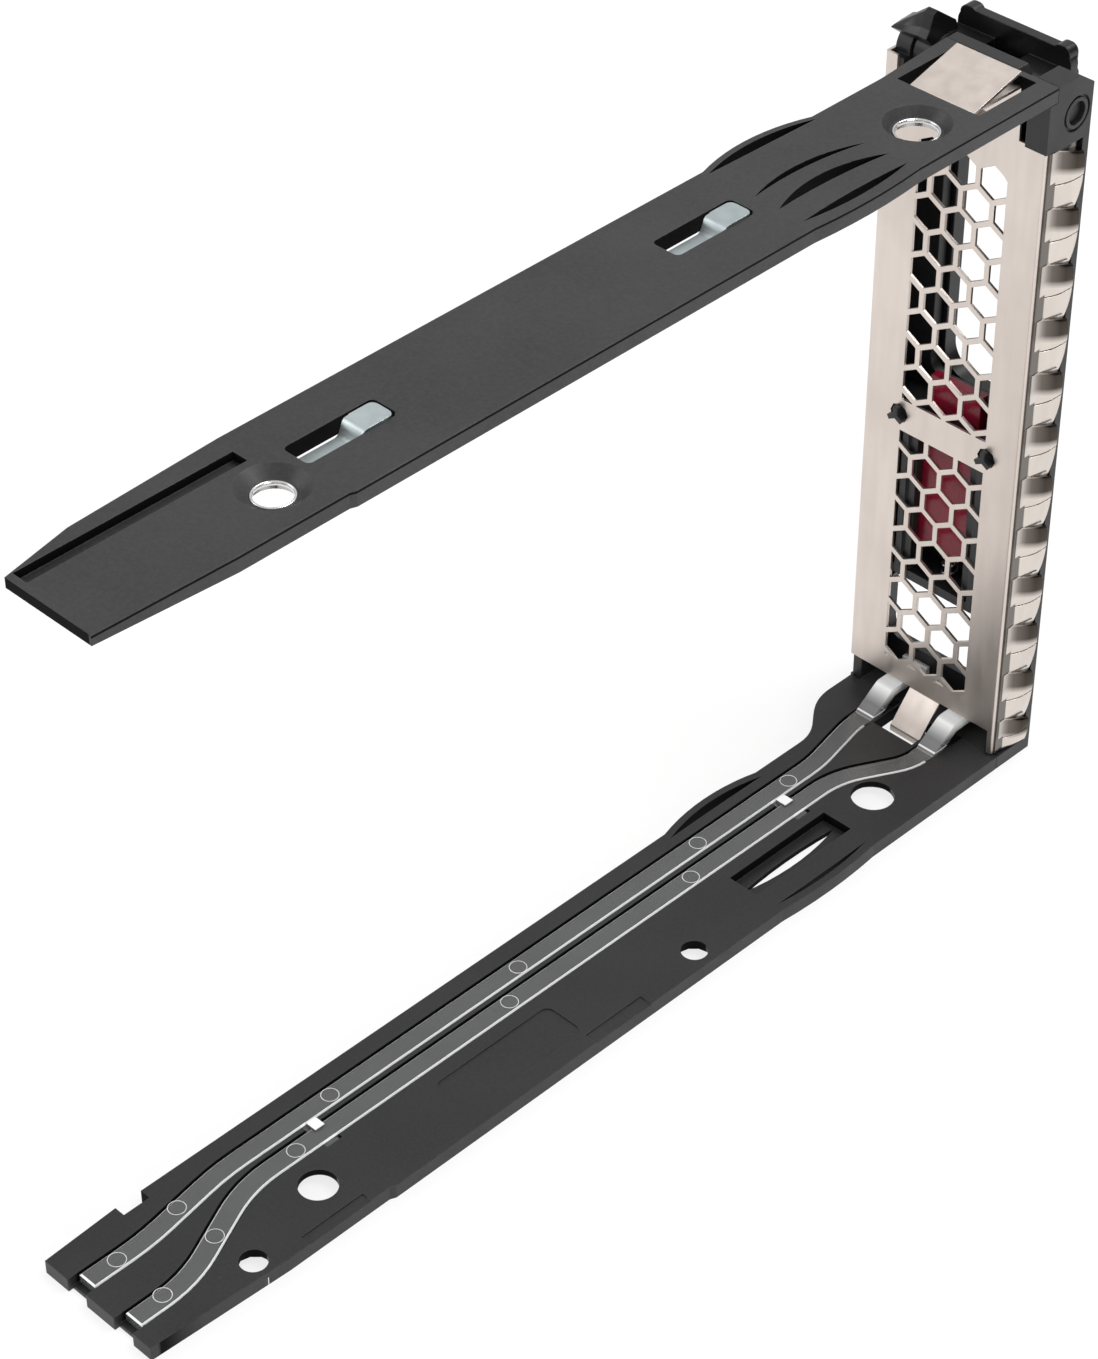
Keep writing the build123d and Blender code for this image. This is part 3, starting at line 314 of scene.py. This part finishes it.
def plastic(name, dark, light, roughness, rim=0.35, dust=0.25, walls=None):
    """Satin plastic with edges lightened as wear and as a painted highlight, with dust, and with painted
    shade that makes the walls inside its openings near black.
    """
    s = Shader(name)
    base = s.mix(s.ramp(s.noise(60, 4), [(0.35, 0.0), (0.65, 1.0)]), dark, light)
    fine = s.ramp(s.noise(2400, 2), [(0.35, 0.0), (0.7, 1.0)])
    base = s.mix(s.times(fine, 0.25), base, scaled(light, 2.2))
    # The edges are lightened partly as wear and partly as a painted highlight
    wear_and_highlight = s.times(s.edges(0.00022), s.ramp(s.noise(140, 3), [(0.4, 0.25), (0.65, 1.0)]))
    base = s.mix(s.times(wear_and_highlight, rim), base, tuple(part * 3 + 0.05 for part in light))
    base = s.mix(s.times(s.specks(420, 0.05), dust), base, (0.35, 0.34, 0.33))
    rough = s.ramp(s.noise(220, 3), [(0.3, roughness - 0.05), (0.7, roughness + 0.06)])
    # Painted shade: the walls inside the openings and the groove line are made near black, metallic and
    # rough
    if walls:
        shade = shaded_walls(s, *walls)
        base = s.mix(shade, base, (0.004, 0.004, 0.004))
        rough = s.math("MAXIMUM", rough, shade)
        s.feed(Metallic=shade)
    relief = s.bump(s.noise(2600, 2), 0.16, 0.00003, s.rounded(0.0002))
    s.feed(Base_Color=base, Roughness=rough, Normal=relief)
    s.set(IOR=1.5, Specular_IOR_Level=0.4)
    return s.material


def finger_painted_shade(s, base, dark):
    """Painted shade on the recessed base of the strip, and painted shade and dark reflection on each
    finger's upper part.
    """
    spot = s.parts(s.place)
    # Painted shade on the base of the strip, which lies recessed inside the fingers
    inside = s.ramp(s.past(spot["X"], RECESS_SHADE_X, 10000.0), [(0.0, 0.0), (0.8, 1.0)])
    base = s.mix(s.times(inside, 0.95), base, scaled(dark, 0.22))
    # Painted shade and painted dark reflection over the upper part of each finger, under the one above
    back = s.math("DIVIDE", s.math("SUBTRACT", SHADE_ROOT_Y, spot["Y"]), SHADE_LENGTH)
    below = s.math("DIVIDE", s.math("SUBTRACT", FINGER_TOP * MM, spot["Z"]), FINGER_PITCH * MM)
    share = s.math("FRACT", s.math("SUBTRACT", below, s.times(back, SHADE_SLANT)))
    zone = s.ramp(share, [(0.0, 1.0), (0.27, 1.0), (0.4, 0.0), (0.97, 0.0), (1.0, 1.0)])
    reach = s.ramp(back, [(0.1, 0.3), (0.35, 0.85), (0.7, 1.0), (0.97, 1.0), (1.0, 0.5)])
    return s.mix(s.times(s.times(zone, reach), 0.97), base, PAINTED_SHADE_COLOR)


def shaded_foot(s, base, dark):
    """The folded foot of the shield lies in the shade and in dust; its colour is painted darker towards the
    bottom, as painted shade and dust.
    """
    height = s.times(s.parts(s.place)["Z"], 100.0)
    return s.mix(s.ramp(height, [(0.25, 0.8), (0.5, 0.3), (1.0, 0.0)]), base, scaled(dark, 0.5))


def metal(name, dark, light, roughness, stretch=(1, 1, 1), grime=0.0, painted_shade=None):
    """Plated sheet or wire with fine streaks along its stretch, stains and, where given, painted shade of
    its own.
    """
    s = Shader(name)
    base = s.mix(s.ramp(s.noise(45, 4), [(0.35, 0.0), (0.65, 1.0)]), dark, light)
    streak = s.ramp(s.noise(700, 3, stretch), [(0.35, 0.0), (0.65, 1.0)])
    base = s.mix(s.times(streak, 0.25), base, scaled(dark, 0.88))
    if grime:
        stain = s.ramp(s.noise(28, 5), [(0.55, 0.0), (0.75, 1.0)])
        base = s.mix(s.times(stain, grime), base, scaled(dark, 0.72))
    # Painted shade, where the part is given some
    if painted_shade:
        base = painted_shade(s, base, dark)
    rough = s.ramp(s.noise(500, 3, stretch), [(0.3, roughness - 0.06), (0.7, roughness + 0.06)])
    relief = s.bump(s.noise(1800, 3, stretch), 0.05, 0.00002, s.rounded(0.00012))
    s.feed(Base_Color=base, Roughness=rough, Normal=relief)
    s.set(Metallic=1.0)
    return s.material


def clear(name, tint, through, low, high):
    """Clear plastic whose risers and bridge blocks are white, and whose upward chamfers are made white by a
    painted highlight.
    """
    s = Shader(name)
    # The chamfers and the slopes where the arms climb catch the light, so a painted highlight makes them
    # white
    rim = s.ramp(s.parts(s.normal())["Z"], [(0.35, 0.0), (0.5, 1.0), (0.93, 1.0), (0.98, 0.0)])
    # The risers are clear at the foot and frosted above, and the bridges' blocks are white
    height = s.times(s.parts(s.place)["Z"], 100.0)
    climb = s.ramp(height, [(0.2035, 1.0), (0.206, 0.1), (0.36, 0.2), (0.48, 1.0)])
    block = s.ramp(height, [(0.222, 0.0), (0.232, 1.0), (0.24, 1.0), (0.245, 0.0)])
    upper = s.ramp(height, [(0.3, 0.0), (0.46, 0.9)])
    rim = s.math("MAXIMUM", s.math("MAXIMUM", s.times(rim, climb), block), upper)
    haze = s.ramp(s.noise(90, 3), [(0.35, scaled(tint, 0.9)), (0.65, tint)])
    s.feed(Base_Color=s.mix(rim, haze, (0.97, 0.98, 0.98)),
           Transmission_Weight=s.ramp(rim, [(0.0, through), (1.0, 0.15 * through)]),
           Roughness=s.ramp(s.noise(180, 3), [(0.3, low), (0.7, high)]),
           Normal=s.bump(s.noise(260, 2), 0.06, 0.00004))
    s.set(IOR=1.49)
    return s.material


def milky(name):
    s = Shader(name)
    s.feed(Base_Color=s.ramp(s.noise(150, 3), [(0.3, (0.82, 0.82, 0.8)), (0.7, (0.9, 0.9, 0.89))]),
           Normal=s.bump(s.noise(900, 2), 0.05, 0.00003, s.rounded(0.00015)))
    s.set(Roughness=0.3, Subsurface_Weight=0.2, Subsurface_Scale=0.002)
    return s.material


made = {
    "light_pipe": clear("clear plastic", (0.24, 0.243, 0.246), 0.65, 0.12, 0.22),
    "lower_rail": plastic("lower rail plastic", (0.011, 0.011, 0.012), (0.016, 0.016, 0.017), 0.45,
                          walls=(RAIL_TAIL, RAIL_NEAR)),
    "upper_rail": plastic("upper rail plastic", (0.017, 0.0165, 0.0172), (0.025, 0.0243, 0.0252), 0.42,
                          walls=(RAIL_TAIL, RAIL_NEAR, GROOVE_Z)),
    "bezel_frame": plastic("bezel plastic", (0.007, 0.007, 0.0075), (0.011, 0.011, 0.0115), 0.38),
    "ejector_lever": plastic("lever plastic", (0.003, 0.003, 0.0035), (0.006, 0.006, 0.0065), 0.3,
                             dust=0.12),
    "release_latch": plastic("latch plastic", (0.13, 0.002, 0.013), (0.2, 0.004, 0.02), 0.26,
                             rim=0.1, dust=0.1),
    "vent_shield": metal("nickel sheet", (0.66, 0.585, 0.535), (0.74, 0.665, 0.61), 0.4,
                         (1, 1, 0.15), grime=0.12, painted_shade=shaded_foot),
    "finger_strip": metal("finger sheet", (0.66, 0.6, 0.55), (0.76, 0.69, 0.63), 0.2,
                          (1, 1, 0.2), grime=0.15, painted_shade=finger_painted_shade),
    # The pin is dark steel, made darker as painted shade for the inside of the pivot hole it sits in
    "pivot_pin": metal("pin steel", (0.06, 0.06, 0.065), (0.1, 0.1, 0.105), 0.5),
    "lever_spring": metal("spring steel", (0.4, 0.4, 0.42), (0.5, 0.5, 0.52), 0.3),
    "eyelet_front": metal("eyelet steel", (0.72, 0.71, 0.7), (0.82, 0.81, 0.8), 0.2),
    "spring_clip_front": metal("zinc sheet", (0.42, 0.47, 0.48), (0.54, 0.6, 0.61), 0.46, grime=0.5),
    "status_lens": milky("lens plastic"),
}
made["latch_spring"] = made["lever_spring"]
made["eyelet_rear"] = made["eyelet_front"]
made["spring_clip_rear"] = made["spring_clip_front"]
made["activity_lens"] = made["status_lens"]
for node, material in made.items():
    mesh = nodes[node].data
    if not mesh.materials:
        mesh.materials.append(material)
    for number in range(len(mesh.materials)):
        nodes[node].material_slots[number].material = material


def add_piece(name, corners, faces, smooth, material):
    """New object from corners and faces, with one flag a face that says whether it is smooth."""
    mesh = bpy.data.meshes.new(name)
    mesh.from_pydata(corners, [], faces)
    mesh.materials.append(material)
    for polygon, is_smooth in zip(mesh.polygons, smooth):
        polygon.use_smooth = is_smooth
    piece = bpy.data.objects.new(name, mesh)
    scene.collection.objects.link(piece)
    return piece


class Sheet:
    """Mesh made of curved patches of sheet with crisp borders."""

    def __init__(self):
        self.corners = []
        self.faces = []
        self.smooth = []

    def patch(self, rows, smooth=True):
        start = len(self.corners)
        across = len(rows[0])
        for row in rows:
            self.corners.extend(row)
        for row in range(len(rows) - 1):
            for place in range(across - 1):
                here = start + row * across + place
                self.faces.append((here, here + 1, here + across + 1, here + across))
                self.smooth.append(smooth)

    def leaf(self, rows, thick):
        """Curved leaf of this thickness, given by the rows of its outer side."""
        inner = [[(x + thick[0], y + thick[1], z + thick[2]) for x, y, z in row] for row in rows]
        self.patch(rows)
        self.patch([row[::-1] for row in inner])
        self.patch([inner[0], rows[0]], False)
        self.patch([rows[-1], inner[-1]], False)
        self.patch([[row[0] for row in rows], [row[0] for row in inner]], False)
        self.patch([[row[-1] for row in inner], [row[-1] for row in rows]], False)

    def piece(self, name, material):
        return add_piece(name, self.corners, self.faces, self.smooth, material)


def slant(down):
    """How far a finger's free end is set off in height, at this share of the way down."""
    for (start, first), (end, last) in zip(SLANT, SLANT[1:]):
        if down <= end:
            return MM * (first + (last - first) * (down - start) / (end - start))
    return 0.0


def fingers():
    """Spring fingers with smooth crests, in place of the faceted ones."""
    low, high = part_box("finger_strip")
    thick = (FINGER_THICK * MM, 0, 0)
    leaf_x = high[0] - thick[0]
    crest = leaf_x - low[0]
    root_y = high[1] - FINGER_ROOT * MM
    pitch = FINGER_PITCH * MM
    strip = Sheet()
    strip.leaf([[(leaf_x, low[1], z), (leaf_x, high[1], z)] for z in (high[2], low[2])], thick)
    for number in range(FINGER_COUNT):
        top = FINGER_TOP * MM - number * pitch
        drop = pitch
        if number == FINGER_COUNT - 1:
            drop = top - low[2]
        for half in (UPPER_HALF, LOWER_HALF):
            strip.leaf([[(leaf_x - out * rise * crest, root_y + (low[1] - root_y) * depth,
                          max(top - down * drop + slant(down) * depth, low[2]))
                         for depth, rise in reversed(DEPTHS)] for out, down in half], thick)
        tab_x = leaf_x - TAB_LIFT * MM
        strip.leaf([[(tab_x, root_y - TAB_BEFORE * MM, z), (tab_x, root_y + TAB_PAST * MM, z)]
                    for z in (top, top - TAB_SHARE * drop)], thick)
    piece = strip.piece("finger_strip_sheet", made["finger_strip"])
    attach(piece, "tray")
    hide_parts("finger_strip")


def clip(node):
    """Spring clip with a short bend between its low leaf and its rounded head."""
    low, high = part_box(node)
    thick = CLIP_THICK * MM
    middle = (low[0] + high[0]) / 2
    half = (high[0] - low[0]) / 2
    leaf_z = low[2] + thick
    rows = [(high[1], leaf_z, CLIP_NEAR, CLIP_FAR)]
    rows += [(low[1] + back * MM, leaf_z + (high[2] - leaf_z) * rise, CLIP_NEAR, CLIP_FAR)
             for back, rise in CLIP_BEND]
    rows += [(low[1] + back * MM, high[2], near, far) for back, near, far in CLIP_HEAD]
    sheet = Sheet()
    sheet.leaf([[(middle + (near + (far - near) * share) * half, y, z) for share in (0, 0.3, 0.7, 1)]
                for y, z, near, far in rows], (0, 0, -thick))
    piece = sheet.piece(node + "_sheet", made[node])
    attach(piece, "tray")
    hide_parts(node)


def eyelet(node):
    """Eyelet with a short rounded lip."""
    low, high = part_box(node)
    middle = ((low[0] + high[0]) / 2, (low[1] + high[1]) / 2)
    bore = (high[0] - low[0]) / 2 - EYELET_FLANGE * MM
    rows = []
    for step in range(EYELET_STEPS + 1):
        turn = 2 * math.pi * step / EYELET_STEPS
        rows.append([(middle[0] + (bore + past * MM) * math.cos(turn),
                      middle[1] + (bore + past * MM) * math.sin(turn), low[2] + up * MM)
                     for past, up in EYELET_LIP + EYELET_LIP[:1]])
    sheet = Sheet()
    sheet.patch(rows)
    piece = sheet.piece(node + "_ring", made[node])
    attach(piece, "tray")
    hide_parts(node)


def tube(name, centres, radius, sides, material):
    """Round wire along these centres, closed at both ends."""
    corners = []
    faces = []
    for number, centre in enumerate(centres):
        before = Vector(centres[max(number - 1, 0)])
        after = Vector(centres[min(number + 1, len(centres) - 1)])
        along = (after - before).normalized()
        side = along.cross(Vector((0, 0, 1))).normalized()
        over = side.cross(along)
        for place in range(sides):
            tilt = 2 * math.pi * place / sides
            corners.append(Vector(centre) + radius * (math.cos(tilt) * side + math.sin(tilt) * over))
    for number in range(len(centres) - 1):
        for place in range(sides):
            here = number * sides
            beside = (place + 1) % sides
            faces.append((here + place, here + beside, here + sides + beside, here + sides + place))
    smooth = [True] * len(faces) + [False, False]
    last = (len(centres) - 1) * sides
    faces.append(tuple(range(sides))[::-1])
    faces.append(tuple(range(last, last + sides)))
    return add_piece(name, corners, faces, smooth, material)


def latch_spring():
    """Spring wound from round wire, built at the length of its part; the latch presses it together as it
    slides down.
    """
    low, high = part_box("latch_spring")
    wire = COIL_WIRE * MM
    radius = COIL_RADIUS * MM
    steps = COIL_TURNS * COIL_STEPS
    middle = ((low[0] + high[0]) / 2, (low[1] + high[1]) / 2)
    rise = high[2] - low[2] - 2 * wire
    centres = []
    for step in range(steps + 1):
        turn = 2 * math.pi * step / COIL_STEPS
        centres.append((middle[0] + radius * math.cos(turn), middle[1] + radius * math.sin(turn),
                        low[2] + wire + rise * step / steps))
    piece = tube("latch_spring_coil", centres, wire, COIL_SIDES, made["latch_spring"])
    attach(piece, "tray")
    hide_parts("latch_spring")
    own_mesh(piece)


def ring(name, place, material):
    """Mark left on the clear moulding by an ejector pin."""
    wire = MARK_WIRE * MM
    corners = []
    faces = []
    for step in range(MARK_STEPS):
        turn = 2 * math.pi * step / MARK_STEPS
        for side in range(MARK_SIDES):
            tilt = 2 * math.pi * side / MARK_SIDES
            reach = MARK_RADIUS * MM + wire * math.cos(tilt)
            corners.append((place[0] + reach * math.cos(turn), place[1] + reach * math.sin(turn),
                            place[2] + wire * MARK_FLATNESS * math.sin(tilt)))
    for step in range(MARK_STEPS):
        here = step * MARK_SIDES
        onward = (step + 1) % MARK_STEPS * MARK_SIDES
        for side in range(MARK_SIDES):
            beside = (side + 1) % MARK_SIDES
            faces.append((here + side, here + beside, onward + beside, onward + side))
    piece = add_piece(name, corners, faces, [True] * len(faces), material)
    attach(piece, "tray")


def floor():
    """Pale floor that keeps the shadow and is seen nearly white."""
    material = bpy.data.materials.new("floor")
    material.use_nodes = True
    tree = material.node_tree
    main = tree.nodes["Principled BSDF"]
    main.inputs["Base Color"].default_value = (0.92, 0.92, 0.92, 1)
    main.inputs["Roughness"].default_value = 0.9
    main.inputs["Specular IOR Level"].default_value = 0.1
    glow = tree.nodes.new("ShaderNodeEmission")
    glow.inputs["Strength"].default_value = 1.0
    path = tree.nodes.new("ShaderNodeLightPath")
    seen = path.outputs["Is Camera Ray"]
    for kind in ("Is Glossy Ray", "Is Transmission Ray"):
        either = tree.nodes.new("ShaderNodeMath")
        either.operation = "MAXIMUM"
        tree.links.new(seen, either.inputs[0])
        tree.links.new(path.outputs[kind], either.inputs[1])
        seen = either.outputs[0]
    share = tree.nodes.new("ShaderNodeMath")
    share.operation = "MULTIPLY"
    share.inputs[1].default_value = FLOOR_GLOW
    tree.links.new(seen, share.inputs[0])
    blend = tree.nodes.new("ShaderNodeMixShader")
    tree.links.new(share.outputs[0], blend.inputs[0])
    tree.links.new(main.outputs[0], blend.inputs[1])
    tree.links.new(glow.outputs[0], blend.inputs[2])
    tree.links.new(blend.outputs[0], tree.nodes["Material Output"].inputs["Surface"])
    corners = [(x * FLOOR_REACH, y * FLOOR_REACH, 0) for x, y in ((-1, -1), (1, -1), (1, 1), (-1, 1))]
    ground = add_piece("floor", corners, [(0, 1, 2, 3)], [False], material)
    ground.location.z = -FLOOR_DROP


def world():
    """White surroundings with one dark side, which the metal mirrors, behind a plain white backdrop."""
    studio = bpy.data.worlds.new("studio")
    scene.world = studio
    studio.use_nodes = True
    tree = studio.node_tree
    back = tree.nodes["Background"]
    back.inputs["Strength"].default_value = WORLD_STRENGTH
    coord = tree.nodes.new("ShaderNodeTexCoord")
    dot = tree.nodes.new("ShaderNodeVectorMath")
    dot.operation = "DOT_PRODUCT"
    dot.inputs[1].default_value = Vector(WORLD_DARK_SIDE).normalized()
    ramp = tree.nodes.new("ShaderNodeValToRGB")
    for element, at, color in zip(ramp.color_ramp.elements, WORLD_FADE, ((1, 1, 1, 1), WORLD_DARK_COLOR)):
        element.position = at
        element.color = color
    plain = tree.nodes.new("ShaderNodeBackground")
    plain.inputs["Color"].default_value = (1, 1, 1, 1)
    plain.inputs["Strength"].default_value = 1.0
    path = tree.nodes.new("ShaderNodeLightPath")
    blend = tree.nodes.new("ShaderNodeMixShader")
    tree.links.new(coord.outputs["Generated"], dot.inputs[0])
    tree.links.new(dot.outputs["Value"], ramp.inputs["Fac"])
    tree.links.new(ramp.outputs["Color"], back.inputs["Color"])
    tree.links.new(path.outputs["Is Camera Ray"], blend.inputs[0])
    tree.links.new(back.outputs[0], blend.inputs[1])
    tree.links.new(plain.outputs[0], blend.inputs[2])
    tree.links.new(blend.outputs[0], tree.nodes["World Output"].inputs["Surface"])


def lamp(name, place, size, power):
    data = bpy.data.lights.new(name, "AREA")
    data.shape = "RECTANGLE"
    data.size = data.size_y = size
    data.energy = power
    piece = bpy.data.objects.new(name, data)
    scene.collection.objects.link(piece)
    piece.location = place
    aim = Vector(LAMP_TARGET) - Vector(place)
    piece.rotation_euler = aim.to_track_quat("-Z", "Y").to_euler()


fingers()
clip("spring_clip_front")
clip("spring_clip_rear")
eyelet("eyelet_front")
eyelet("eyelet_rear")
latch_spring()
mark_plastic = clear("mark plastic", (0.95, 0.96, 0.96), 0.5, 0.2, 0.3)
for number, (inset, back) in enumerate(PIPE_MARKS):
    ring(f"pipe_mark_{number}", ((MARK_ORIGIN[0] + inset) * MM, (MARK_ORIGIN[1] + back) * MM, MARK_Z * MM),
         mark_plastic)
camera()
floor()
world()
for settings in LAMPS:
    lamp(*settings)
scene.view_settings.view_transform = "Standard"
scene.view_settings.look = "None"
